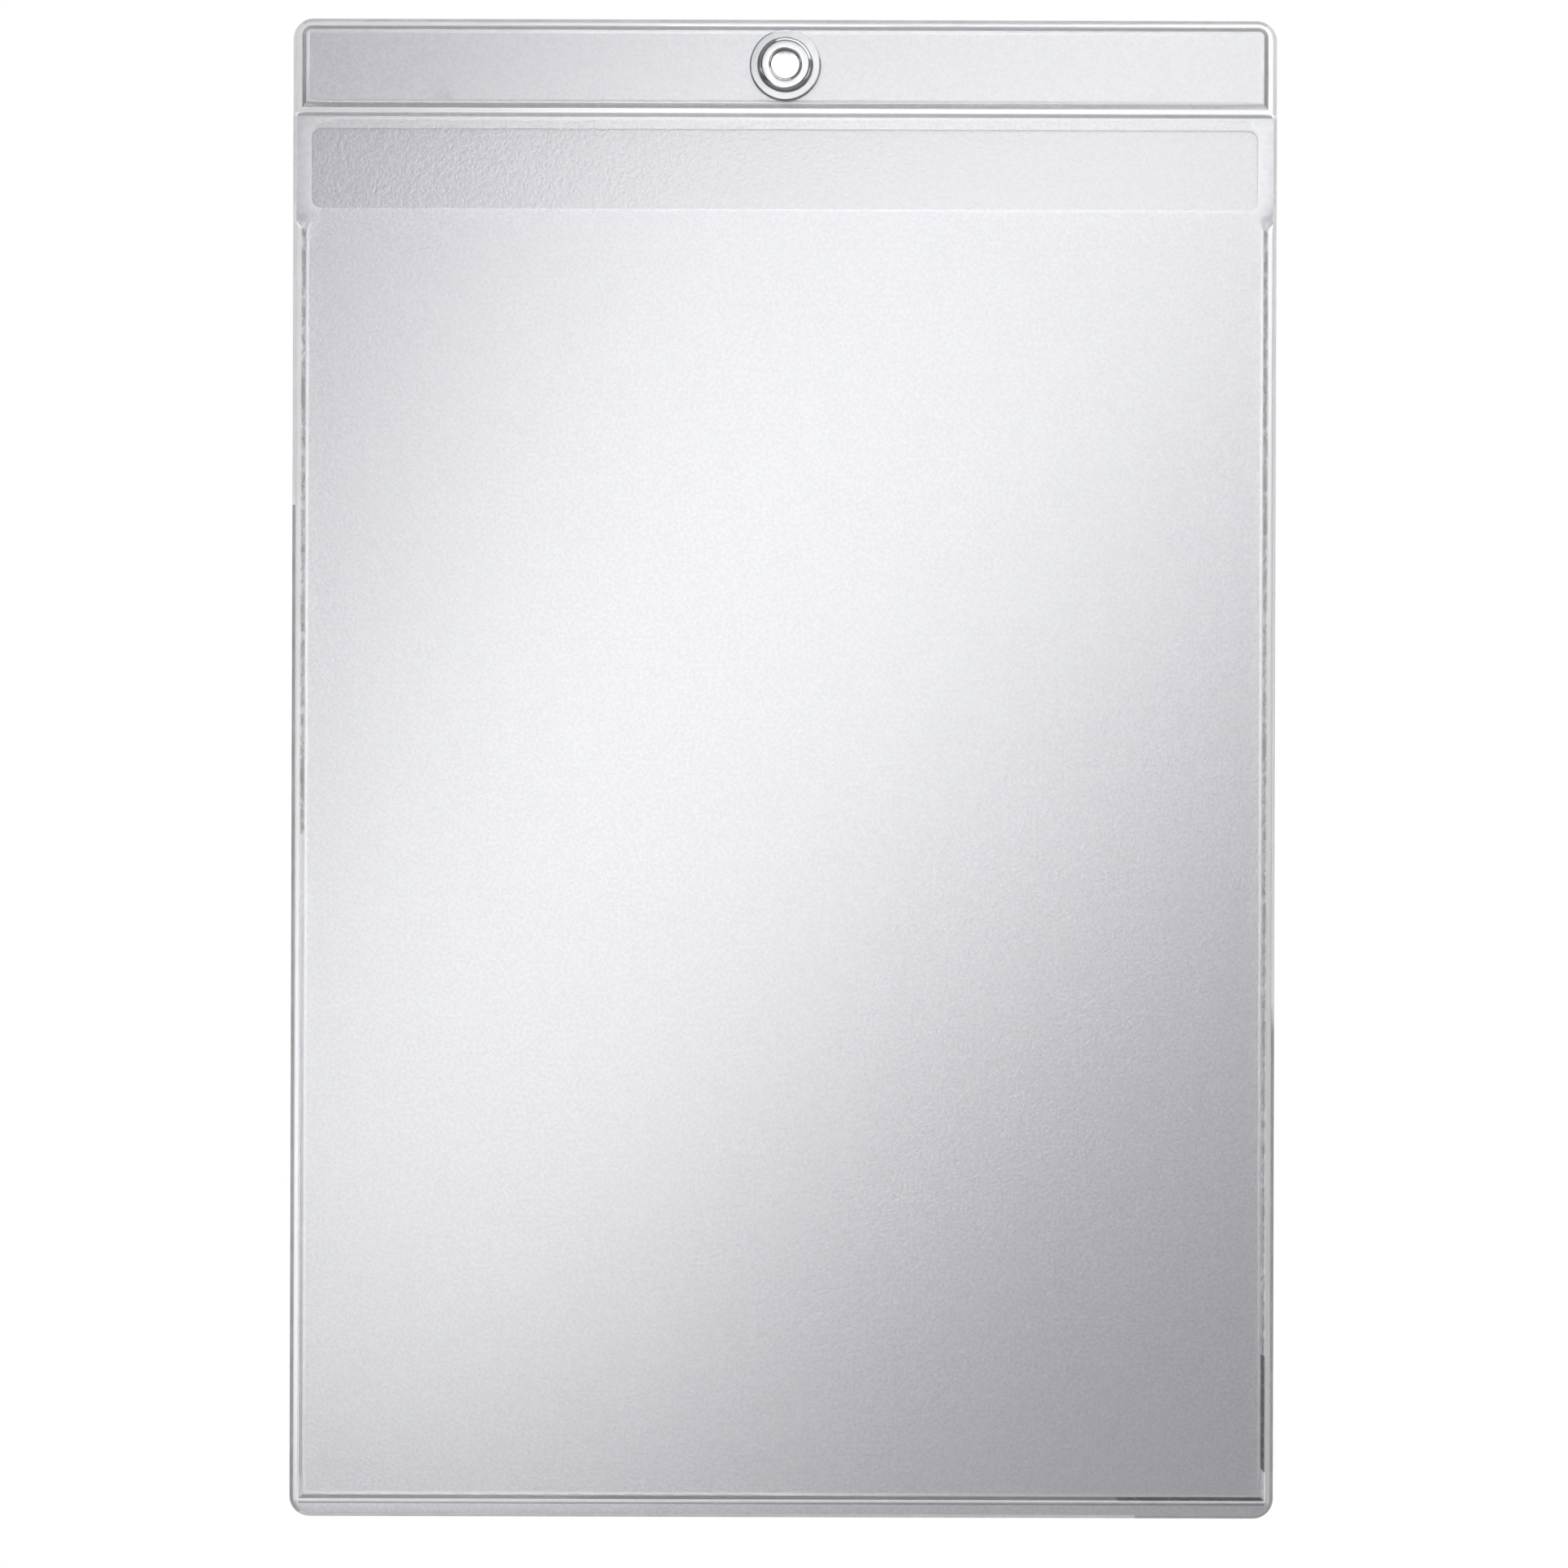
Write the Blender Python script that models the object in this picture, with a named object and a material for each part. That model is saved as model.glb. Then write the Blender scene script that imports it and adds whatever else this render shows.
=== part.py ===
"""Hanging document pocket for one upright A4 sheet.

Two clear films are welded together round the edge. The front film has an insertion slot under a stiffened
header, and an eyelet set through the header hangs the pocket on a hook. +Z is up and the front faces -Y.
The origin is the centre of the hanging hole, in the plane of the back film's rear face.
"""

import math

import bmesh
import bpy
from mathutils import Vector
from mathutils.geometry import delaunay_2d_cdt

# Films, in metres
WIDTH = 0.220
POCKET_HEIGHT = 0.2885  # from the bottom weld to the lip of the slot
CORNER_RADIUS = 0.0045
FILM = 0.0003  # thickness of either film
POCKET_GAP = 0.0009  # between the films of the empty pocket
SEAT = 0.0003  # left between pieces that touch or are fused on the real pocket

# Welds: flat bands where the front film is pressed onto the back film
TOP_WELD = 0.0013
SIDE_WELD = 0.0020
CROSS_WELD = 0.0011  # under the header
BOTTOM_WELD = 0.0040
SHOULDER = 0.0008  # slope of a film beside a weld
WELD_DENT = 0.0001  # groove that the welds leave in the rear face of the back film

# Header and insertion slot
HEADER_HEIGHT = 0.0182
STIFFENER = 0.0005
STIFFENER_CORNER = 0.0020
STRIP_HEIGHT = 0.0040  # front film between the header's weld and the slot
SLOT_HEIGHT = 0.0179
SLOT_MARGIN = 0.00425  # film left at either end of the slot
SLOT_CORNER = 0.0022
SIDE_WELD_DROP = 0.0045  # from the slot's lip down to where the side welds start

# Eyelet and washer
BORE_RADIUS = 0.0031
BARREL_WALL = 0.0009
COLLAR_WIDTH = 0.00295  # round ring in front of the brim
COLLAR_HEIGHT = 0.0014
COLLAR_ROUND = 0.0011
MOUTH_ROUND = 0.0008  # from the bore onto the collar
BRIM_WIDTH = 0.0019  # outside the collar
BRIM_THICKNESS = 0.0008
WASHER_WIDTH = 0.00365
WASHER_THICKNESS = 0.0008
FLARE_WIDTH = 0.0013  # over the washer
FLARE_THICKNESS = 0.0006
EDGE_ROUND = 0.0003  # rim of the brim and of the washer

# Fineness of round shapes
CORNER_STEPS = 8  # per quarter turn of a film's corner
TURN_STEPS = 48  # round the eyelet and its holes
ROUND_STEPS = 4  # per quarter turn of a turned edge
MERGE = 1e-6  # points of a film nearer than this are one

# Levels above and below the hanging hole, which is in the middle of the header
HEADER_HIGH = HEADER_HEIGHT / 2
HEADER_LOW = -HEADER_HEIGHT / 2
TOP = HEADER_HIGH + TOP_WELD
STRIP_HIGH = HEADER_LOW - CROSS_WELD
SLOT_HIGH = STRIP_HIGH - STRIP_HEIGHT
SLOT_MIDDLE = SLOT_HIGH - SLOT_HEIGHT / 2
SLOT_LOW = SLOT_HIGH - SLOT_HEIGHT
SIDE_WELD_HIGH = SLOT_LOW - SIDE_WELD_DROP
POCKET_LOW = SLOT_LOW - POCKET_HEIGHT
BOTTOM = POCKET_LOW - BOTTOM_WELD

# Distances from the middle of the width
HALF = WIDTH / 2
WELD_HALF = HALF - SIDE_WELD
SLOT_HALF = HALF - SLOT_MARGIN
LIP_HALF = SLOT_HALF - SLOT_CORNER

# Depths in front of the back film's rear face
WELD_LEVEL = WELD_DENT + FILM + SEAT
STIFFENER_LEVEL = FILM + SEAT
HEADER_LEVEL = STIFFENER_LEVEL + STIFFENER + SEAT
POCKET_LEVEL = FILM + POCKET_GAP
BRIM_BACK = HEADER_LEVEL + FILM + SEAT
BRIM_FRONT = BRIM_BACK + BRIM_THICKNESS
COLLAR_FRONT = BRIM_FRONT + COLLAR_HEIGHT
WASHER_FRONT = -SEAT
WASHER_BACK = WASHER_FRONT - WASHER_THICKNESS
FLARE_FRONT = WASHER_BACK - SEAT
FLARE_BACK = FLARE_FRONT - FLARE_THICKNESS

# Radii about the hanging hole
BARREL_RADIUS = BORE_RADIUS + BARREL_WALL
HOLE_RADIUS = BARREL_RADIUS + SEAT
COLLAR_RADIUS = BORE_RADIUS + COLLAR_WIDTH
BRIM_RADIUS = COLLAR_RADIUS + BRIM_WIDTH
WASHER_RADIUS = HOLE_RADIUS + WASHER_WIDTH
FLARE_RADIUS = HOLE_RADIUS + FLARE_WIDTH


def material(name, colour, roughness, alpha):
    made = bpy.data.materials.new(name)
    made.use_nodes = True
    shader = made.node_tree.nodes["Principled BSDF"]
    shader.inputs["Base Color"].default_value = (*colour, 1)
    shader.inputs["Roughness"].default_value = roughness
    shader.inputs["Metallic"].default_value = 0
    shader.inputs["Alpha"].default_value = alpha
    return made


def finish(name, bm, surface, origin=(0, 0, 0)):
    """Turn a bmesh in world coordinates into an object with its origin at a point."""
    bmesh.ops.translate(bm, verts=bm.verts, vec=-Vector(origin))
    mesh = bpy.data.meshes.new(name)
    bm.to_mesh(mesh)
    bm.free()
    mesh.materials.append(surface)
    made = bpy.data.objects.new(name, mesh)
    made.location = origin
    bpy.context.collection.objects.link(made)
    return made


def arc(centre, radius, start, end, steps):
    """Points of a round stretch, from one angle in degrees to another."""
    points = []
    for i in range(steps + 1):
        angle = math.radians(start + (end - start) * i / steps)
        points.append((centre[0] + radius * math.cos(angle), centre[1] + radius * math.sin(angle)))
    return points


def rectangle(half, low, high):
    """Corners of an upright rectangle, anticlockwise as (x, z) points."""
    return [(half, low), (half, high), (-half, high), (-half, low)]


def rounded(half, low, high, radius):
    """Upright rectangle with round corners, anticlockwise as (x, z) points."""
    points = []
    for i, corner in enumerate(rectangle(half - radius, low + radius, high - radius)):
        points += arc(corner, radius, 90 * (i - 1), 90 * i, CORNER_STEPS)
    return points


def inward(outline):
    """Unit normal into a convex outline from each of its edges."""
    normals = []
    for a, b in zip(outline, outline[1:] + outline[:1]):
        along = (Vector(b) - Vector(a)).normalized()
        normals.append(Vector((-along.y, along.x)))
    return normals


def inset(outline, distance):
    """Convex outline with its edges moved in by a distance, or out by a negative one."""
    normals = inward(outline)
    moved = []
    for i, corner in enumerate(outline):
        before, after = normals[i - 1], normals[i]
        moved.append(Vector(corner) + distance * (before + after) / (1 + before.dot(after)))
    return [tuple(point) for point in moved]


def within(outline, x, z):
    """Whether a point lies inside an outline, by counting the edges to its right."""
    crossings = 0
    for (ax, az), (bx, bz) in zip(outline, outline[1:] + outline[:1]):
        if (az > z) != (bz > z) and x < ax + (z - az) / (bz - az) * (bx - ax):
            crossings += 1
    return crossings % 2 == 1


def sheet(name, outline, holes, creases, level, thickness, surface, origin=(0, 0, 0)):
    """Sheet cut to an outline with holes, shaped between creases by its level, and thickened to the front."""
    points, edges = [], []
    for loop in [outline, *holes, *creases]:
        first, count = len(points), len(loop)
        points += [Vector(point) for point in loop]
        edges += [(first + i, first + (i + 1) % count) for i in range(count)]
    flat, _, faces, *_ = delaunay_2d_cdt(points, edges, [], 0, MERGE)
    bm = bmesh.new()
    verts = [bm.verts.new((x, -level(x, z), z)) for x, z in flat]
    for corners in faces:
        x, z = sum((flat[i] for i in corners), Vector((0, 0))) / len(corners)
        if within(outline, x, z) and not any(within(hole, x, z) for hole in holes):
            bm.faces.new([verts[i] for i in corners])
    bmesh.ops.delete(bm, geom=[v for v in bm.verts if not v.link_faces], context="VERTS")
    swept = bmesh.ops.extrude_face_region(bm, geom=bm.faces[:])["geom"]
    front = [item for item in swept if isinstance(item, bmesh.types.BMVert)]
    bmesh.ops.translate(bm, verts=front, vec=(0, -thickness, 0))
    bmesh.ops.recalc_face_normals(bm, faces=bm.faces)
    return finish(name, bm, surface, origin)


def turned(name, profile, surface):
    """Ring turned about the hole's axis from a closed profile of (radius, depth) points."""
    bm = bmesh.new()
    verts = [bm.verts.new((radius, -depth, 0)) for radius, depth in profile]
    edges = [bm.edges.new((verts[i - 1], verts[i])) for i in range(len(verts))]
    bmesh.ops.spin(
        bm, geom=edges, cent=(0, 0, 0), axis=(0, 1, 0), angle=math.tau, steps=TURN_STEPS, use_merge=True
    )
    bmesh.ops.recalc_face_normals(bm, faces=bm.faces)
    made = finish(name, bm, surface)
    made.data.shade_smooth()
    made.data.set_sharp_from_angle(angle=math.radians(40))
    return made


for old in list(bpy.data.objects):
    bpy.data.objects.remove(old)

# Outlines that the films share
film_outline = rounded(HALF, BOTTOM, TOP, CORNER_RADIUS)
eyelet_hole = arc((0, 0), HOLE_RADIUS, 0, 360, TURN_STEPS)[:-1]
slot = rounded(SLOT_HALF, SLOT_LOW, SLOT_HIGH, SLOT_CORNER)

# Free part of the front film with its slopes: the sides slant in from the side welds to the ends of the lip
slant = (WELD_HALF - LIP_HALF) / (SLOT_LOW - SIDE_WELD_HIGH)
pocket_right = [
    (WELD_HALF, POCKET_LOW),
    (WELD_HALF, SIDE_WELD_HIGH),
    (LIP_HALF - slant * (SLOT_MIDDLE - SLOT_LOW), SLOT_MIDDLE),
]
pocket = pocket_right + [(-x, z) for x, z in reversed(pocket_right)]

# Unwelded parts of each film, with the depth of its rear face there
header = rectangle(WELD_HALF, HEADER_LOW, HEADER_HIGH)
strip = rectangle(LIP_HALF, SLOT_MIDDLE, STRIP_HIGH)
behind_slot = rectangle(LIP_HALF, SIDE_WELD_HIGH, STRIP_HIGH)
front_parts = [(header, HEADER_LEVEL), (strip, POCKET_LEVEL), (pocket, POCKET_LEVEL)]
back_parts = [(header, 0), (behind_slot, 0), (pocket, 0)]


def bends(parts):
    """Lines along which a film bends: the edge of each weld, and the top of the slope beside it."""
    return [line for outline, _ in parts for line in (outline, inset(outline, SHOULDER))]


def formed(parts, weld_level):
    """Depth of a film's rear face: flat at the welds, with a slope to the level of each unwelded part."""

    def level(x, z):
        depth = weld_level
        for outline, full in parts:
            edges = zip(outline, inward(outline))
            inside = min((Vector((x, z)) - Vector(corner)).dot(normal) for corner, normal in edges)
            slope = min(max(inside / SHOULDER, 0), 1)
            depth = max(depth, weld_level + (full - weld_level) * slope, key=lambda d: abs(d - weld_level))
        return depth

    return level


# Back film: one sheet with the eyelet's hole, grooved where it is welded
back_film = sheet(
    "back_film",
    film_outline,
    [eyelet_hole],
    bends(back_parts),
    formed(back_parts, WELD_DENT),
    FILM,
    material("back_film_pvc", (0.80, 0.81, 0.83), 0.35, 0.35),
)

# Front film, welded part: header, slot surround, and the margins that are fused to the back film
front_margin = sheet(
    "front_margin",
    film_outline,
    [eyelet_hole, slot, inset(pocket, SHOULDER - SEAT / 2)],
    bends(front_parts),
    formed(front_parts, WELD_LEVEL),
    FILM,
    material("front_margin_pvc", (0.84, 0.85, 0.87), 0.30, 0.45),
)

# Front film, free part: it swings out from above the bottom weld when the mouth is opened
front_panel = sheet(
    "front_panel",
    inset(pocket, SHOULDER + SEAT / 2),
    [slot],
    [],
    lambda x, z: POCKET_LEVEL,
    FILM,
    material("front_panel_pvc", (0.84, 0.85, 0.87), 0.30, 0.45),
    origin=(0, -(POCKET_LEVEL + FILM / 2), POCKET_LOW + SHOULDER),
)

# Stiffener: a clear strip closed into the header by the welds round it
play = SHOULDER + SEAT
header_stiffener = sheet(
    "header_stiffener",
    rounded(WELD_HALF - play, HEADER_LOW + play, HEADER_HIGH - play, STIFFENER_CORNER),
    [eyelet_hole],
    [],
    lambda x, z: STIFFENER_LEVEL,
    STIFFENER,
    material("stiffener_clear", (0.88, 0.89, 0.91), 0.20, 0.30),
)

# Eyelet: brim and round collar in front, barrel through the header, end flared over the washer
mouth_round = min(MOUTH_ROUND, COLLAR_WIDTH / 2)
collar_round = min(COLLAR_ROUND, COLLAR_WIDTH / 2, COLLAR_HEIGHT)
mouth_centre = (BORE_RADIUS + mouth_round, COLLAR_FRONT - mouth_round)
collar_centre = (COLLAR_RADIUS - collar_round, COLLAR_FRONT - collar_round)
brim_edge = (BRIM_RADIUS - EDGE_ROUND, BRIM_FRONT - EDGE_ROUND)
eyelet_profile = [
    (BORE_RADIUS, FLARE_BACK),
    *arc(mouth_centre, mouth_round, 180, 90, ROUND_STEPS),
    *arc(collar_centre, collar_round, 90, 0, ROUND_STEPS),
    (COLLAR_RADIUS, BRIM_FRONT),
    *arc(brim_edge, EDGE_ROUND, 90, 0, ROUND_STEPS),
    (BRIM_RADIUS, BRIM_BACK),
    (BARREL_RADIUS, BRIM_BACK),
    (BARREL_RADIUS, FLARE_FRONT),
    (FLARE_RADIUS, FLARE_FRONT),
    (FLARE_RADIUS, FLARE_BACK),
]
eyelet = turned("eyelet", eyelet_profile, material("eyelet_clear", (0.80, 0.81, 0.85), 0.10, 0.45))

# Washer: a clear ring behind the back film, held by the flared end
washer_edge = (WASHER_RADIUS - EDGE_ROUND, WASHER_BACK + EDGE_ROUND)
washer_profile = [
    (HOLE_RADIUS, WASHER_BACK),
    (HOLE_RADIUS, WASHER_FRONT),
    (WASHER_RADIUS, WASHER_FRONT),
    *arc(washer_edge, EDGE_ROUND, 0, -90, ROUND_STEPS),
]
washer_surface = material("washer_clear", (0.80, 0.81, 0.85), 0.15, 0.45)
eyelet_washer = turned("eyelet_washer", washer_profile, washer_surface)
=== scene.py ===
import math

import bmesh
import bpy
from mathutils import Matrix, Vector
from mathutils.geometry import delaunay_2d_cdt
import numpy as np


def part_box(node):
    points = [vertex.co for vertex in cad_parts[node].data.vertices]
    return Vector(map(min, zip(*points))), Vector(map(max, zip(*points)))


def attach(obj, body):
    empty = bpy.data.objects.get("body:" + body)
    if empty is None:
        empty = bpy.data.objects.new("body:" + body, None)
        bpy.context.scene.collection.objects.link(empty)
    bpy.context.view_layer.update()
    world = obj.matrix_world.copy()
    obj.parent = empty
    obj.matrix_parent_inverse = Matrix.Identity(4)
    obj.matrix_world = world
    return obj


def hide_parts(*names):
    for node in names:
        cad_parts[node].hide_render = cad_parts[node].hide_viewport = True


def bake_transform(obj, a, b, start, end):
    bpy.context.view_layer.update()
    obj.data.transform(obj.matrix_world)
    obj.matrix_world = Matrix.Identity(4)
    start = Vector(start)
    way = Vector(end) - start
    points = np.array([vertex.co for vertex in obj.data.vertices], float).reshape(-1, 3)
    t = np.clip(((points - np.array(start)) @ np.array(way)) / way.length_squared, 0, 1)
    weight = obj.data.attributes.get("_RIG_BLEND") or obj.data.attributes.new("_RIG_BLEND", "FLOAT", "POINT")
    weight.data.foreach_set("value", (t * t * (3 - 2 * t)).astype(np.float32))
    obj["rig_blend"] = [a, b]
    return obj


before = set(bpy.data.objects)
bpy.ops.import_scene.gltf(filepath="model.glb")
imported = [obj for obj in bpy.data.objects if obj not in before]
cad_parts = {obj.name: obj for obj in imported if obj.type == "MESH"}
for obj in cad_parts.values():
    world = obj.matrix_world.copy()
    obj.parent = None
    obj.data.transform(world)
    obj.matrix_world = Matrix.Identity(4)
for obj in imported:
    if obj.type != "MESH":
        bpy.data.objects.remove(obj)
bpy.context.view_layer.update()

# Back film: the rear sheet of the pocket, soft clear PVC with a fine embossed grain. It is cut to the
# pocket's outline together with the front film and fused to it along the welds, which leave shallow grooves
# in its back.
film_low, film_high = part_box("back_film")
half_width, film_top, film_bottom = film_high.x, film_high.z, film_low.z
film_thickness = 0.0003
film_corner = 0.0045
corner_steps = 8
rim_width = 0.0009  # stretch along the cut edge where the hot blade has thinned the film
rim_loss = 0.0002
rim_shows = 0.1  # share of that loss from which the rim looks like an edge
weld_groove = 0.0001
shoulder = 0.0008  # slope of a film beside a weld
line_low, line_high = -0.15, 1.15  # shares of the shoulder between which it shows as a line of painted shade
header_high, header_low = 0.0088, -0.0094
header_corner = 0.0022
header_half = half_width - 0.0020
pocket_high = header_low - 0.0012  # lower edge of the weld under the header
pocket_low = film_bottom + 0.0040
slot_low = -0.0321
side_weld_high = slot_low - 0.0045  # the side welds start here and run down to the bottom weld
side_weld_fade = 0.0080  # above it their slope widens and runs out over the edge
fade_reach, fade_spread, fade_rate = 12 * shoulder, 10, 0.7
fade_steps = 10
press_highlight_band = 0.0007  # height of the pale band under the bottom weld, a painted highlight standing in for a bead, with no relief of its own
eyelet_hole_radius = 0.0043
eyelet_hole_steps = 64
eyelet_clearance = 0.003
grid_step = 0.0065
grid_margin = 3  # shoulder widths that the grid keeps off the welds
dark_edge_left, dark_edge_right = -0.100, -0.212  # below these levels the sides' cut edges get the deepest painted shade
dark_edge_corner = -0.030  # and so far along the edges from the lower right corner


def smooth(share):
    """0 to 1 with soft ends."""
    share = min(max(share, 0), 1)
    return share * share * (3 - 2 * share)


def round_stretch(centre, radius, start, end, steps):
    """Points of an arc, from one angle in degrees to another."""
    angles = [math.radians(start + (end - start) * i / steps) for i in range(steps + 1)]
    return [(centre[0] + radius * math.cos(a), centre[1] + radius * math.sin(a)) for a in angles]


def upright(half, low, high, low_radius, high_radius):
    """Upright rectangle with round corners, anticlockwise as (x, z) points."""
    corners = [(1, low, low_radius), (1, high, high_radius), (-1, high, high_radius), (-1, low, low_radius)]
    points = []
    for turn, (side, level, radius) in enumerate(corners):
        start = 90 * turn - 90
        inward = radius if level == low else -radius
        if radius:
            centre = (side * (half - radius), level + inward)
            points += round_stretch(centre, radius, start, start + 90, corner_steps)
        else:
            points.append((side * half, level))
    return points


def inset(outline, distance):
    """Convex outline with its edges moved in by a distance, or out by a negative one."""
    normals = []
    for a, b in zip(outline, outline[1:] + outline[:1]):
        along = (Vector(b) - Vector(a)).normalized()
        normals.append(Vector((-along.y, along.x)))
    moved = []
    for i, corner in enumerate(outline):
        before, after = normals[i - 1], normals[i]
        moved.append(tuple(Vector(corner) + distance * (before + after) / (1 + before.dot(after))))
    return moved


def stepped(loop, step):
    """Closed loop with points added along its long edges."""
    points = []
    for a, b in zip(loop, loop[1:] + loop[:1]):
        a, b = Vector(a), Vector(b)
        count = max(1, round((b - a).length / step))
        points += [tuple(a.lerp(b, i / count)) for i in range(count)]
    return points


def within(loop, x, z):
    """Whether a point lies inside a loop, by counting the edges to its right."""
    crossings = 0
    for (ax, az), (bx, bz) in zip(loop, loop[1:] + loop[:1]):
        if (az > z) != (bz > z) and x < ax + (z - az) / (bz - az) * (bx - ax):
            crossings += 1
    return crossings % 2 == 1


def off_edge(half, low, high, radius, x, z):
    """Distance of a point inside an upright rectangle with round corners from its edge."""
    across = abs(x) - (half - radius)
    along = abs(z - (low + high) / 2) - ((high - low) / 2 - radius)
    outside = math.hypot(max(across, 0), max(along, 0))
    return radius - outside - min(max(across, along), 0)


def header_share(x, z):
    """0 on the welds round the header, 1 on its raised middle."""
    radius = header_corner if z > 0 else 0
    return off_edge(header_half, header_low, header_high, radius, x, z) / shoulder


def side_slope(z):
    """Where the slope at either side of the pocket starts at a level, and its width."""
    loose = smooth((z - side_weld_high) / side_weld_fade)
    start = header_half + (half_width + fade_reach - header_half) * loose
    return start, shoulder * (1 + fade_spread * loose ** fade_rate)


def pocket_share(x, z):
    """0 on the welds round the pocket, 1 on its free middle."""
    start, width = side_slope(z)
    return min((start - abs(x)) / width, (z - pocket_low) / shoulder, (pocket_high - z) / shoulder)


def free_share(x, z):
    """0 on any weld, 1 on the raised middle of the header or of the pocket."""
    return max(header_share(x, z), pocket_share(x, z))


def pocket_line(share):
    """Closed line round the pocket at one share of its slope."""
    low, high = pocket_low + share * shoulder, pocket_high - share * shoulder
    fade = [side_weld_high + side_weld_fade * i / fade_steps for i in range(fade_steps + 1)]
    right = []
    for z in [low, *fade, high]:
        start, width = side_slope(z)
        right.append((start - share * width, z))
    return right + [(-x, z) for x, z in reversed(right)]


def weld_lines(shares):
    """Closed lines round the header and the pocket, at the given shares of their slopes."""
    loops = [inset(header_line, shoulder * share) for share in shares]
    loops += [pocket_line(share) for share in shares]
    return [stepped(loop, grid_step) for loop in loops]


def rim_share(x, z):
    """1 on the cut edge of a film, 0 past its thinned rim."""
    return 1 - smooth(off_edge(half_width, film_bottom, film_top, film_corner, x, z) / rim_width)


def grid_spots(clear_of):
    """Points of an even grid over the header and the pocket, off their slopes and out of the given loops."""
    spots = []
    columns = round(2 * half_width / grid_step)
    rows = round((film_top - film_bottom) / grid_step)
    for i in range(1, columns):
        for j in range(1, rows):
            x = -half_width + 2 * half_width * i / columns
            z = film_bottom + (film_top - film_bottom) * j / rows
            if free_share(x, z) > grid_margin and not any(within(loop, x, z) for loop in clear_of):
                spots.append((x, z))
    return spots


def finished(bm, name, finishes, sharp_angle):
    """Object of a closed mesh with its materials, smooth but for its sharp edges."""
    bmesh.ops.recalc_face_normals(bm, faces=bm.faces[:])
    mesh = bpy.data.meshes.new(name)
    bm.to_mesh(mesh)
    bm.free()
    mesh.shade_smooth()
    mesh.set_sharp_from_angle(angle=math.radians(sharp_angle))
    for material in finishes.values():
        mesh.materials.append(material)
    made = bpy.data.objects.new(name, mesh)
    bpy.context.collection.objects.link(made)
    return made


def film_sheet(name, outline, holes, bends, spots, back, front, finishes, finish, rear_finish):
    """Closed sheet cut to an outline with holes, with the depths of its two faces.

    finish and rear_finish name the material at a point of the front and of the rear face.
    The last of the finishes is on the cut walls.
    """
    slots = list(finishes)
    points, edges = [], []
    for loop in [outline, *holes, *bends]:
        first, count = len(points), len(loop)
        points += [Vector(point) for point in loop]
        edges += [(first + i, first + (i + 1) % count) for i in range(count)]
    points += [Vector(point) for point in spots]
    flat, _, faces, *_ = delaunay_2d_cdt(points, edges, [], 0, 1e-6)
    bm = bmesh.new()
    verts = [bm.verts.new((x, 0, z)) for x, z in flat]
    for corners in faces:
        x, z = sum((flat[i] for i in corners), Vector((0, 0))) / len(corners)
        if within(outline, x, z) and not any(within(hole, x, z) for hole in holes):
            bm.faces.new([verts[i] for i in corners]).material_index = slots.index(finish(x, z))
    bmesh.ops.delete(bm, geom=[v for v in bm.verts if not v.link_faces], context="VERTS")
    bmesh.ops.join_triangles(
        bm,
        faces=bm.faces[:],
        cmp_materials=True,
        angle_face_threshold=math.pi,
        angle_shape_threshold=math.radians(50),
    )
    swept = bmesh.ops.extrude_face_region(bm, geom=bm.faces[:])["geom"]
    front_verts = {item for item in swept if isinstance(item, bmesh.types.BMVert)}
    for face in bm.faces:
        if front_verts.isdisjoint(face.verts):
            middle = face.calc_center_median()
            face.material_index = slots.index(rear_finish(middle.x, middle.z))
        elif not front_verts.issuperset(face.verts):
            face.material_index = len(slots) - 1
    for vert in bm.verts:
        depth = front if vert in front_verts else back
        vert.co.y = -depth(vert.co.x, vert.co.z)
    return finished(bm, name, finishes, sharp_angle=50)


haze_patch = 0.07  # breadth of the faint patches in the plastic
haze_dark, haze_light = 0.35, 0.65  # heights of the noise at which the haze has its two greys
polish_low, polish_high = 0.94, 1.06  # roughness in the hollows and on the tops of the grain, as shares


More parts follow.
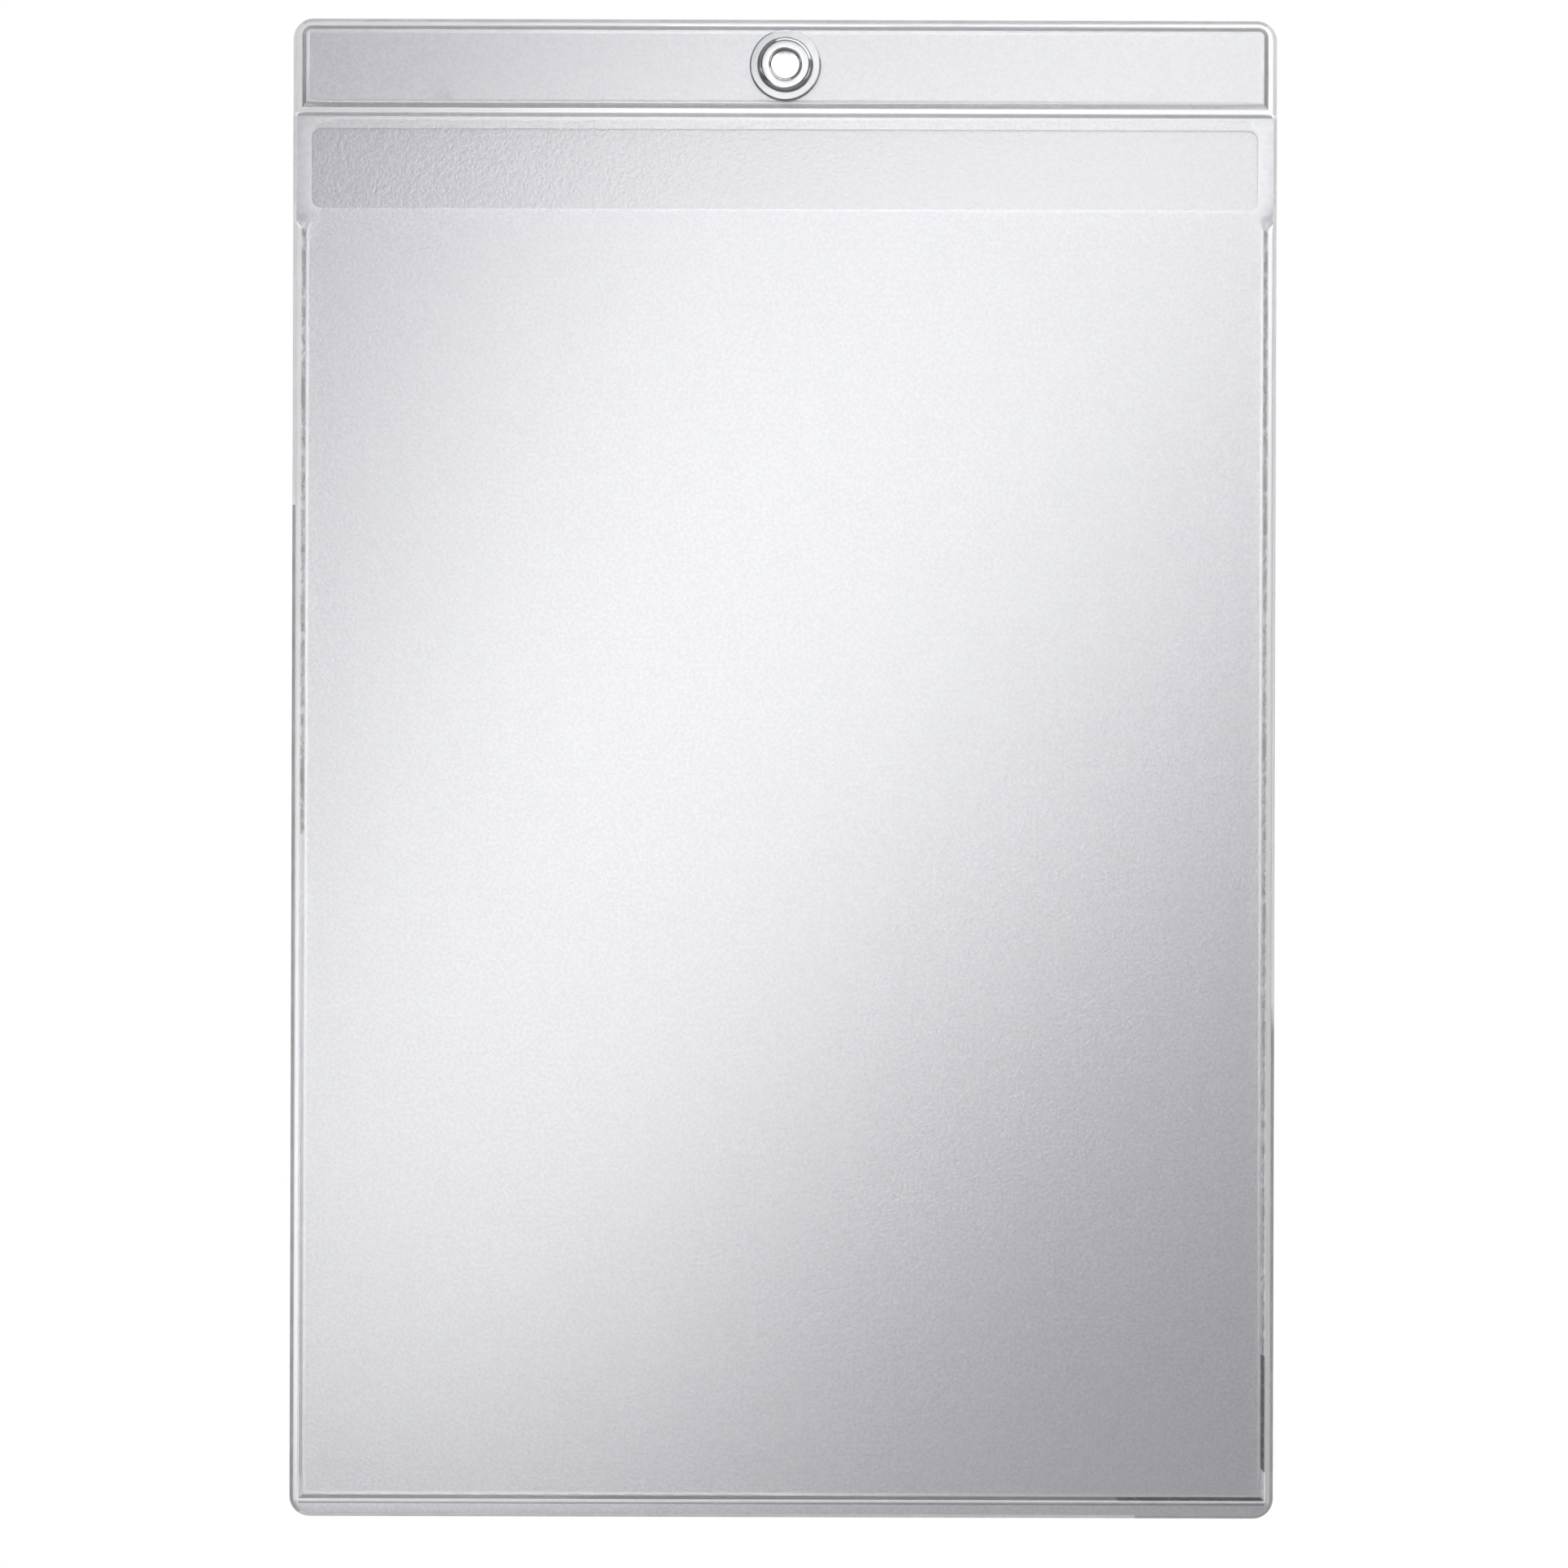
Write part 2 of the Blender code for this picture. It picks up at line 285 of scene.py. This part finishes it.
def clear_plastic(
    name, alpha, dark, light, roughness=0.26, gloss=1.0, grain_depth=0.0, grain_size=0.0014, grain_part=0.8
):
    """See-through plastic whose haze wanders between two greys, in fine embossed grain and broad patches."""
    made = bpy.data.materials.new(name)
    made.use_nodes = True
    nodes, links = made.node_tree.nodes, made.node_tree.links
    shader = nodes["Principled BSDF"]
    shader.inputs["Alpha"].default_value = alpha
    shader.inputs["IOR"].default_value = 1.8
    shader.inputs["Specular IOR Level"].default_value = gloss
    place = nodes.new("ShaderNodeTexCoord")
    grain = nodes.new("ShaderNodeTexNoise")
    grain.inputs["Scale"].default_value = 1 / grain_size
    grain.inputs["Detail"].default_value = 0.5
    grain.inputs["Distortion"].default_value = 0.6
    links.new(place.outputs["Object"], grain.inputs["Vector"])
    patches = nodes.new("ShaderNodeTexNoise")
    patches.inputs["Scale"].default_value = 1 / haze_patch
    patches.inputs["Detail"].default_value = 4
    links.new(place.outputs["Object"], patches.inputs["Vector"])
    haze = nodes.new("ShaderNodeMix")
    haze.inputs["Factor"].default_value = grain_part
    links.new(patches.outputs["Fac"], haze.inputs["A"])
    links.new(grain.outputs["Fac"], haze.inputs["B"])
    tint = nodes.new("ShaderNodeValToRGB")
    for end, height, grey in zip(tint.color_ramp.elements, (haze_dark, haze_light), (dark, light)):
        end.position = height
        end.color = (*grey, 1)
    links.new(haze.outputs["Result"], tint.inputs["Fac"])
    links.new(tint.outputs["Color"], shader.inputs["Base Color"])
    polish = nodes.new("ShaderNodeMapRange")
    polish.inputs["To Min"].default_value = roughness * polish_low
    polish.inputs["To Max"].default_value = roughness * polish_high
    links.new(grain.outputs["Fac"], polish.inputs["Value"])
    links.new(polish.outputs["Result"], shader.inputs["Roughness"])
    if grain_depth:
        emboss = nodes.new("ShaderNodeBump")
        emboss.inputs["Strength"].default_value = 1.0
        emboss.inputs["Distance"].default_value = grain_depth
        links.new(grain.outputs["Fac"], emboss.inputs["Height"])
        links.new(emboss.outputs["Normal"], shader.inputs["Normal"])
    return made


def back_groove(x, z):
    """Depth of the grooves that the welds leave in the back film."""
    return weld_groove * (1 - smooth(free_share(x, z)))


def towards_corner(x, z):
    """How near a point of the edge lies to the lower right corner: 0 there, less with the way along it."""
    return x - half_width - (z - film_bottom)


def edge_finish(x, z):
    """Names the finish of the cut edge, which is painted shade: deepest low on the sides and at the lower
    right, paler elsewhere.
    """
    on_side = abs(x) > half_width - film_corner / 2
    dark_edge_high = dark_edge_left if x < 0 else dark_edge_right
    if towards_corner(x, z) > dark_edge_corner or on_side and z < dark_edge_high:
        return "dark edge"
    return "side edge" if on_side else "end edge"


def back_film_finish(x, z):
    """Names the finish at a point of the back film."""
    if rim_share(x, z) > rim_shows:
        return edge_finish(x, z)
    # Welds are clear on the back film, also across the band under the bottom weld, which lifts the painted
    # highlight there.
    return "weld" if free_share(x, z) < 0 and z > pocket_low - press_highlight_band else "film"


film_outline = stepped(upright(half_width, film_bottom, film_top, film_corner, film_corner), grid_step)
rim_lines = [inset(film_outline, rim_width * share) for share in (0.2, 0.5, 0.8, 1.1)]
eyelet_hole = round_stretch((0, 0), eyelet_hole_radius, 0, 360, eyelet_hole_steps)[:-1]
round_eyelet = inset(eyelet_hole, -eyelet_clearance)
header_line = upright(header_half, header_low, header_high, 0, header_corner)
slope_lines = weld_lines([-0.5, line_low, 0, 0.25, 0.5, 0.75, 1, line_high])
film_grain = {"roughness": 0.30, "grain_size": 0.0007, "grain_part": 0.92}
weld_polish = {"roughness": 0.20, "grain_size": 0.01}
edge_polish = {"gloss": 0.3, "grain_size": 0.006}
# Cut edges get dark grey haze as painted shade, the dark line of a clear film seen at its edge; near black
# low on the sides and at the lower right.
edge_shade_greys = (0.10, 0.102, 0.12), (0.22, 0.224, 0.25)
edge_deep_shade_greys = (0.01, 0.011, 0.02), (0.14, 0.143, 0.16)
edge_finishes = {
    "side edge": clear_plastic("side_edge_shade_pvc", 0.25, *edge_shade_greys, **edge_polish),
    "end edge": clear_plastic("end_edge_shade_pvc", 0.36, *edge_shade_greys, **edge_polish),
    "dark edge": clear_plastic("dark_edge_shade_pvc", 0.49, *edge_deep_shade_greys, **edge_polish),
}
smooth_greys = (0.70, 0.71, 0.74), (0.85, 0.855, 0.88)
smooth_face = clear_plastic("smooth_face_pvc", 0.02, *smooth_greys, roughness=0.18)
back_film = film_sheet(
    "back_film_sheet",
    film_outline,
    [eyelet_hole],
    rim_lines + slope_lines,
    grid_spots([round_eyelet]),
    back=lambda x, z: back_groove(x, z) + rim_loss * rim_share(x, z),
    front=lambda x, z: back_groove(x, z) + film_thickness,
    finishes={
        # Its dark grey haze is partly the film's smoky tone and partly painted shade, the dim surroundings
        # seen through the pocket.
        "film": clear_plastic(
            "back_film_pvc",
            0.85,
            (0.135, 0.136, 0.173),
            (0.171, 0.173, 0.217),
            grain_depth=0.000032,
            **film_grain,
        ),
        "weld": clear_plastic(
            "back_weld_pvc", 0.13, (0.19, 0.195, 0.23), (0.21, 0.215, 0.25), **weld_polish
        ),
        **edge_finishes,
        "rear": clear_plastic(
            "rear_film_pvc",
            0.30,
            (0.815, 0.815, 0.895),
            (0.865, 0.865, 0.945),
            grain_depth=0.00005,
            **film_grain,
        ),
        "smooth": smooth_face,
    },
    finish=back_film_finish,
    rear_finish=lambda x, z: "rear" if free_share(x, z) > 1 else "smooth",
)
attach(back_film, "pocket")
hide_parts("back_film")

# Header stiffener: a clear, smooth strip of stiffer plastic, slid between the films before the header is
# welded shut round it. It carries the pull of the eyelet across the whole width.
strip_low, strip_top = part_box("header_stiffener")
strip_corner = 0.0020
strip_bevel, strip_draw = 0.0002, 0.00012  # width and depth of its bevelled edges
strip_margin = 0.002  # stretch along its edge without grid points


def stiffener_edge(x, z):
    """How much the strip's faces draw in towards its cut edge."""
    inside = off_edge(strip_top.x, strip_low.z, strip_top.z, strip_corner, x, z)
    return strip_draw * (1 - smooth(inside / strip_bevel))


strip_shape = upright(strip_top.x, strip_low.z, strip_top.z, strip_corner, strip_corner)
strip_outline = stepped(strip_shape, grid_step)
strip_inside = inset(strip_outline, strip_margin)
strip_greys = (0.70, 0.71, 0.73), (0.88, 0.89, 0.91)
stiffener = film_sheet(
    "header_stiffener_strip",
    strip_outline,
    [eyelet_hole],
    [inset(strip_outline, strip_bevel)],
    [spot for spot in grid_spots([round_eyelet]) if within(strip_inside, *spot)],
    back=lambda x, z: -strip_top.y + stiffener_edge(x, z),
    front=lambda x, z: -strip_low.y - stiffener_edge(x, z),
    finishes={"strip": clear_plastic("stiffener_pet", 0.015, *strip_greys, roughness=0.12)},
    finish=lambda x, z: "strip",
    rear_finish=lambda x, z: "strip",
)
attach(stiffener, "pocket")
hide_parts("header_stiffener")

# Front film: a second sheet of the same soft PVC, with the insertion slot punched out under the header.
# The welds fuse its margins to the back film. Beside each weld it rises over a shoulder with a bead that
# the tool has squeezed out.
slot_high = -0.0142
slot_half = half_width - 0.00425
slot_corner = 0.0022
slot_rim = 0.0004  # from the slot's cut edge to the first mesh line beside it
slot_clearance = 0.002
surround_high = pocket_high - 3 * shoulder  # top of the plain margins beside the slot
fuse_gap = 0.00005
weld_level = weld_groove + film_thickness + fuse_gap
header_level = 0.0014
pocket_level = 0.0012
bead_height = 0.00008
bead_width = 0.7  # in shares of the shoulder
bead_shares = [1 + bead_width / 2, line_high + bead_width, 1.6 + bead_width]
press_shade_line = 0.0011  # lower end of the line of painted shade under the bottom weld's painted highlight
deep_line_reach, dark_line_reach = -0.038, -0.160  # how far along the edges from the lower right the lines' painted shade is deep, then dark
faint_line_high = -0.170  # below this level the left side's line gets only faint painted shade
clear_line_foot = 0.0060  # at the foot of the right side the line gets almost no painted shade


def bead(share):
    """Height of the bead that the weld squeezes out at the top of its shoulder."""
    position = (share - 1) / bead_width
    return bead_height * math.sin(math.pi * position) if 0 < position < 1 else 0


def front_rise(x, z):
    """Depth of the front film's rear face."""
    header, pocket = header_share(x, z), pocket_share(x, z)
    return (
        weld_level
        + (header_level - weld_level) * smooth(header)
        + (pocket_level - weld_level) * smooth(pocket)
        + bead(header)
        + bead(pocket)
    )


def weld_finish(x, z):
    """Names the finish on a weld. The bottom one keeps the film's grain below a band of painted highlight
    and a line of painted shade.
    """
    if z > pocket_low or abs(x) > header_half:
        return "weld"
    below = pocket_low - z
    if below < press_highlight_band:
        return "bead"
    return "end edge" if below < press_shade_line else "film"


def line_finish(x, z):
    """Names the finish of a weld's shoulder, which shows as a line of painted shade.

    The painted shade is broken at the sides, and deepest at the lower right.
    """
    if abs(x) > header_half + shoulder / 4:
        return "weld"
    if z > side_weld_high:
        from_side = header_half - abs(x)
        if header_low < z < 0 and z - header_low < from_side:
            return "clear line"
        return "soft line" if z < header_low else "line"
    on_side = z - pocket_low > half_width - abs(x)
    if x > 0 and on_side and z < pocket_low + clear_line_foot:
        return "clear line"
    if towards_corner(x, z) > deep_line_reach:
        return "deep line"
    if on_side:
        return "faint line" if x < 0 and z < faint_line_high else "side line"
    return "dark line" if towards_corner(x, z) > dark_line_reach else "line"


def front_film_finish(x, z):
    """Names the finish at a point of the front film."""
    if rim_share(x, z) > rim_shows:
        return edge_finish(x, z)
    # Beside the slot the margins get the pale bead finish, a painted highlight.
    if side_weld_high < z < surround_high:
        return "bead" if abs(x) > slot_half else "film"
    share = free_share(x, z)
    if share < line_low:
        return weld_finish(x, z)
    if share < line_high:
        return line_finish(x, z)
    # The pale bead finish on the crest beside each shoulder is a painted highlight.
    if share < line_high + bead_width:
        return "bead"
    return "header" if z > header_low else "film"


slot_loop = stepped(upright(slot_half, slot_low, slot_high, slot_corner, slot_corner), grid_step)
slot_lines = [inset(slot_loop, -slot_rim), inset(slot_loop, -1.5 * slot_rim)]
press_loop = upright(header_half, pocket_low - press_shade_line, pocket_low - press_highlight_band, 0, 0)
# Weld lines are near-black haze on the shoulders, painted shade for the dark line a bent clear film shows;
# broken at the sides, deep at the lower right.
line_shade_greys = (0.05, 0.051, 0.06), (0.12, 0.122, 0.14)
front_film = film_sheet(
    "front_film_sheet",
    film_outline,
    [eyelet_hole, slot_loop],
    rim_lines + slope_lines + weld_lines(bead_shares) + slot_lines + [stepped(press_loop, grid_step)],
    grid_spots([round_eyelet, inset(slot_loop, -slot_clearance)]),
    back=front_rise,
    front=lambda x, z: front_rise(x, z) + film_thickness - rim_loss * rim_share(x, z),
    finishes={
        "film": clear_plastic(
            "front_film_pvc",
            0.40,
            (0.625, 0.627, 0.690),
            (0.735, 0.737, 0.806),
            grain_depth=0.000032,
            **film_grain,
        ),
        "header": clear_plastic(
            "header_pvc",
            0.80,
            (0.326, 0.328, 0.376),
            (0.369, 0.372, 0.421),
            grain_depth=0.000022,
            **film_grain,
        ),
        "weld": clear_plastic(
            "front_weld_pvc", 0.80, (0.65, 0.655, 0.69), (0.69, 0.695, 0.73), gloss=0.68, **weld_polish
        ),
        **edge_finishes,
        # Pale haze on the beads, the slot's margins and the band under the bottom weld is a painted
        # highlight.
        "bead": clear_plastic(
            "weld_bead_highlight_pvc", 0.40, (0.76, 0.765, 0.80), (0.84, 0.845, 0.88), roughness=0.30
        ),
        "line": clear_plastic("weld_line_shade_pvc", 0.44, *line_shade_greys, gloss=0.1),
        "soft line": clear_plastic("soft_line_shade_pvc", 0.33, *line_shade_greys, gloss=0.1),
        "clear line": clear_plastic("clear_line_shade_pvc", 0.04, *line_shade_greys, gloss=0.1),
        "faint line": clear_plastic(
            "faint_line_shade_pvc", 0.15, (0.10, 0.102, 0.12), (0.50, 0.505, 0.54), gloss=0.3
        ),
        "side line": clear_plastic(
            "side_line_shade_pvc",
            0.50,
            (0.01, 0.011, 0.016),
            (0.80, 0.805, 0.84),
            gloss=0.4,
            grain_size=0.002,
            grain_part=0.6,
        ),
        "dark line": clear_plastic(
            "dark_line_shade_pvc", 0.52, (0.02, 0.021, 0.026), (0.14, 0.142, 0.16), gloss=0.1
        ),
        "deep line": clear_plastic(
            "deep_line_shade_pvc", 0.74, (0.01, 0.011, 0.016), (0.14, 0.142, 0.16), gloss=0.1
        ),
        "smooth": smooth_face,
    },
    finish=front_film_finish,
    rear_finish=lambda x, z: "smooth",
)
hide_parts("front_margin", "front_panel")
lip_half = slot_half - slot_corner
hinge_level = pocket_low + shoulder
bow_foot = 0.03  # height over which the bow sets in above the bottom weld
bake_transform(front_film, "pocket", "mouth", start=(-lip_half, 0, slot_low), end=(0, 0, slot_low))
for vert, weight in zip(front_film.data.vertices, front_film.data.attributes["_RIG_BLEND"].data):
    x, _, z = vert.co
    below_lip = z < (slot_low + slot_high) / 2
    bow = smooth(1 - abs(x) / lip_half) * smooth((z - hinge_level) / bow_foot)
    weight.value = bow if below_lip else 0

# Eyelet: a clear moulded ring with a brim and a round collar, pushed through the header from the front. Its
# barrel is flared over the washer behind.
eyelet_low, eyelet_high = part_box("eyelet")
bore_radius, barrel_radius = 0.0031, 0.0040
collar_radius, brim_radius, flare_radius = 0.00605, eyelet_high.x, 0.0056
collar_front, brim_front, brim_back = -eyelet_low.y, 0.0028, 0.0020
flare_front, flare_back = -0.0014, -eyelet_high.y
mouth_round, collar_round, brim_round, flare_round = 0.0008, 0.0011, 0.0005, 0.00028
collar_foot, brim_edge = 0.0002, 0.0001  # fillet where the collar meets the brim, and the brim's rear edge
bore_play = 0.0001  # faces within this of the bore belong to it
flank_lean = 0.97  # a face that looks less to the front or the rear than this is a flank
turn_steps = 96


def moulding_finish(face):
    """Names the finish of a moulded face: clear where it lies flat, with painted shade on the flanks and in
    the bore.
    """
    middle = face.calc_center_median()
    if math.hypot(middle.x, middle.z) < bore_radius + bore_play:
        return "bore"
    return "flank" if abs(face.normal.y) < flank_lean else "flat"


moulding_finishes = {
    "flat": clear_plastic(
        "moulded_flat", 0.50, (0.88, 0.885, 0.90), (0.96, 0.965, 0.98), roughness=0.25, grain_size=0.003
    ),
    # Flanks and bore are near-black navy as painted shade, the dark rings that refraction gives a clear
    # moulding.
    "flank": clear_plastic(
        "moulded_flank_shade",
        0.90,
        (0.004, 0.008, 0.030),
        (0.06, 0.070, 0.13),
        roughness=0.12,
        grain_size=0.004,
        grain_part=1.0,
    ),
    "bore": clear_plastic(
        "moulded_bore_shade",
        0.92,
        (0.010, 0.015, 0.030),
        (0.06, 0.070, 0.10),
        gloss=0.05,
        grain_size=0.004,
        grain_part=1.0,
    ),
}


def turned(name, profile):
    """Ring turned about the hanging hole from a closed profile of (radius, depth) points."""
    bm = bmesh.new()
    verts = [bm.verts.new((radius, -depth, 0)) for radius, depth in profile]
    edges = [bm.edges.new((verts[i - 1], verts[i])) for i in range(len(verts))]
    bmesh.ops.spin(
        bm, geom=edges, cent=(0, 0, 0), axis=(0, 1, 0), angle=math.tau, steps=turn_steps, use_merge=True
    )
    bm.normal_update()
    for face in bm.faces:
        face.material_index = list(moulding_finishes).index(moulding_finish(face))
    return finished(bm, name, moulding_finishes, sharp_angle=35)


eyelet = turned(
    "eyelet_ring",
    [
        *round_stretch((bore_radius + flare_round, flare_back + flare_round), flare_round, 270, 180, 4),
        *round_stretch((bore_radius + mouth_round, collar_front - mouth_round), mouth_round, 180, 90, 8),
        *round_stretch((collar_radius - collar_round, collar_front - collar_round), collar_round, 90, 0, 8),
        *round_stretch((collar_radius + collar_foot, brim_front + collar_foot), collar_foot, 180, 270, 3),
        *round_stretch((brim_radius - brim_round, brim_front - brim_round), brim_round, 90, 0, 4),
        *round_stretch((brim_radius - brim_edge, brim_back + brim_edge), brim_edge, 0, -90, 2),
        (barrel_radius, brim_back),
        (barrel_radius, flare_front),
        *round_stretch((flare_radius - flare_round, flare_front - flare_round), flare_round, 90, -90, 8),
    ],
)
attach(eyelet, "pocket")
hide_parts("eyelet")

# Eyelet washer: a clear moulded ring laid over the barrel behind the back film. The flared end of the barrel
# presses it against the film.
washer_low, washer_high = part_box("eyelet_washer")
washer_inner, washer_outer = 0.0043, washer_high.x
washer_front, washer_back = -washer_low.y, -washer_high.y
washer_round, washer_chamfer = 0.0003, 0.0001
washer = turned(
    "eyelet_washer_ring",
    [
        (washer_inner, washer_back + washer_chamfer),
        (washer_inner, washer_front - washer_chamfer),
        (washer_inner + washer_chamfer, washer_front),
        (washer_outer - washer_chamfer, washer_front),
        *round_stretch((washer_outer - washer_round, washer_back + washer_round), washer_round, 0, -90, 6),
        (washer_inner + washer_chamfer, washer_back),
    ],
)
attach(washer, "pocket")
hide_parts("eyelet_washer")

# Studio: a pale floor well below the hanging pocket, in white surroundings. Slanted strip lamps in front
# draw the band of sheen across the films, a wide lamp at the upper left fills in, and soft boxes stand
# above, behind, at the sides and at the upper right. A dark wall and a dark card show only in gloss.
floor_level = film_bottom - 0.30
floor_radius = 1.4
floor_glow = 0.5  # share of plain white in the floor as it is seen


def shown_rays(nodes, links):
    """1 for rays from the camera, a gloss or a glass, 0 for those that carry light on."""
    path = nodes.new("ShaderNodeLightPath")
    shown = path.outputs["Is Camera Ray"]
    for kind in ("Is Glossy Ray", "Is Transmission Ray"):
        either = nodes.new("ShaderNodeMath")
        either.operation = "MAXIMUM"
        links.new(shown, either.inputs[0])
        links.new(path.outputs[kind], either.inputs[1])
        shown = either.outputs["Value"]
    return shown


bm = bmesh.new()
bmesh.ops.create_circle(bm, cap_ends=True, segments=96, radius=floor_radius)
floor_mesh = bpy.data.meshes.new("studio_floor")
bm.to_mesh(floor_mesh)
bm.free()
floor = bpy.data.objects.new("studio_floor", floor_mesh)
floor.location.z = floor_level
floor.visible_diffuse = False
bpy.context.collection.objects.link(floor)
floor_paint = bpy.data.materials.new("floor_paint")
floor_paint.use_nodes = True
nodes, links = floor_paint.node_tree.nodes, floor_paint.node_tree.links
nodes["Principled BSDF"].inputs["Base Color"].default_value = (0.9, 0.9, 0.9, 1)
nodes["Principled BSDF"].inputs["Roughness"].default_value = 0.7
glow = nodes.new("ShaderNodeEmission")
glow_share = nodes.new("ShaderNodeMath")
glow_share.operation = "MULTIPLY"
glow_share.inputs[1].default_value = floor_glow
links.new(shown_rays(nodes, links), glow_share.inputs[0])
floor_tone = nodes.new("ShaderNodeMixShader")
links.new(glow_share.outputs["Value"], floor_tone.inputs["Fac"])
links.new(nodes["Principled BSDF"].outputs["BSDF"], floor_tone.inputs[1])
links.new(glow.outputs["Emission"], floor_tone.inputs[2])
links.new(floor_tone.outputs["Shader"], nodes["Material Output"].inputs["Surface"])
floor_mesh.materials.append(floor_paint)

world = bpy.data.worlds.new("studio")
bpy.context.scene.world = world
world.use_nodes = True
nodes, links = world.node_tree.nodes, world.node_tree.links
plain = nodes["Background"]
plain.inputs["Color"].default_value = (0.98, 0.99, 1.0, 1)
plain.inputs["Strength"].default_value = 0.03
white = nodes.new("ShaderNodeBackground")
white.inputs["Color"].default_value = (1, 1, 1, 1)
surround = nodes.new("ShaderNodeMixShader")
links.new(shown_rays(nodes, links), surround.inputs["Fac"])
links.new(plain.outputs["Background"], surround.inputs[1])
links.new(white.outputs["Background"], surround.inputs[2])
links.new(surround.outputs["Shader"], nodes["World Output"].inputs["Surface"])

pixels_per_metre = 5504.5
frame_pixels = 1932
aim_pixels = Vector((1, 0, -19))  # from the pocket's middle to the middle of the picture
pocket_middle = Vector((0, 0, (film_top + film_bottom) / 2))
aim = pocket_middle + aim_pixels / pixels_per_metre
camera_distance = 1.0
camera_roll = math.radians(0.17)
camera_data = bpy.data.cameras.new("camera")
camera_data.sensor_width = 36
camera_data.lens = camera_data.sensor_width * camera_distance * pixels_per_metre / frame_pixels
camera = bpy.data.objects.new("camera", camera_data)
camera.location = aim - Vector((0, camera_distance, 0))
camera.rotation_euler = (math.radians(90), -camera_roll, 0)
bpy.context.collection.objects.link(camera)
bpy.context.scene.camera = camera
sheen_distance = 0.70


def area_light(name, place, turn, size, radiance):
    """Rectangular lamp of an even radiance."""
    data = bpy.data.lights.new(name, "AREA")
    data.shape = "RECTANGLE"
    data.size, data.size_y = size
    data.energy = radiance * math.pi * size[0] * size[1]
    lamp = bpy.data.objects.new(name, data)
    lamp.location = place
    lamp.rotation_euler = turn
    bpy.context.collection.objects.link(lamp)
    return lamp


def sheen_strip(name, lean, offset, climb, size, radiance):
    """Long lamp that the films mirror as a band, which leans by an angle and passes left of the aim."""
    lean = math.radians(lean)
    across = Vector((-math.cos(lean), 0, math.sin(lean)))
    upward = Vector((math.sin(lean), 0, math.cos(lean)))
    mirrored = 1 + sheen_distance / camera_distance
    place = aim - Vector((0, sheen_distance, 0)) + (across * offset + upward * climb) * mirrored
    lamp_size = (size[0] * mirrored, size[1] * mirrored)
    lamp = area_light(name, place, (math.radians(90), lean, 0), lamp_size, radiance)
    lamp.visible_diffuse = False
    lamp.visible_camera = False


def softbox(name, place, target, size, radiance):
    """Square lamp aimed at a point."""
    turn = (Vector(target) - Vector(place)).to_track_quat("-Z", "Y").to_euler()
    return area_light(name, place, turn, (size, size), radiance)


sheen_strip("sheen_strip_right", lean=37, offset=0.013, climb=0.104, size=(0.150, 0.535), radiance=5.4)
sheen_strip("sheen_strip_faint", lean=37, offset=-0.105, climb=0.050, size=(0.090, 0.16), radiance=0.9)
sheen_strip("sheen_strip_left", lean=20, offset=0.058, climb=-0.004, size=(0.099, 0.37), radiance=5.95)
front_fill = softbox("front_fill", (-0.30, -1.00, 0.30), pocket_middle, size=0.80, radiance=4.4)
front_fill.visible_glossy = False
softbox("top_softbox", (0, -0.30, 1.40), (0, 0, floor_level), size=0.90, radiance=6.0)
softbox("rear_softbox", (0.25, 1.40, 0.45), pocket_middle, size=1.20, radiance=5.5)
for name, side in (("left_softbox", -1), ("right_softbox", 1)):
    side_box = softbox(name, (side * 1.20, -0.60, -0.45), pocket_middle, size=1.00, radiance=2.2)
    side_box.visible_diffuse = False
    side_box.visible_camera = False
glint = softbox("glint_softbox", (0.55, -0.15, 0.60), (0, 0, 0), size=0.80, radiance=6.0)
glint.visible_diffuse = False

wall_paint = bpy.data.materials.new("wall_paint")
wall_paint.use_nodes = True
wall_paint.node_tree.nodes["Principled BSDF"].inputs["Base Color"].default_value = (0.05, 0.05, 0.05, 1)


def dark_board(name, place, turn, half):
    """Square dark board that shows only in gloss."""
    bm = bmesh.new()
    bmesh.ops.create_grid(bm, x_segments=1, y_segments=1, size=half)
    mesh = bpy.data.meshes.new(name)
    bm.to_mesh(mesh)
    bm.free()
    mesh.materials.append(wall_paint)
    board = bpy.data.objects.new(name, mesh)
    board.location = place
    board.rotation_euler = turn
    board.visible_camera = False
    board.visible_diffuse = False
    board.visible_shadow = False
    bpy.context.collection.objects.link(board)


card_place = Vector((-0.75, -0.20, -0.85))
dark_board("dark_wall", (0, -4.0, 0), (math.radians(90), 0, 0), half=4)
dark_board("dark_card", card_place, (-card_place).to_track_quat("Z", "Y").to_euler(), half=1.0)

bpy.context.scene.cycles.transparent_max_bounces = 24
bpy.context.scene.view_settings.view_transform = "Standard"
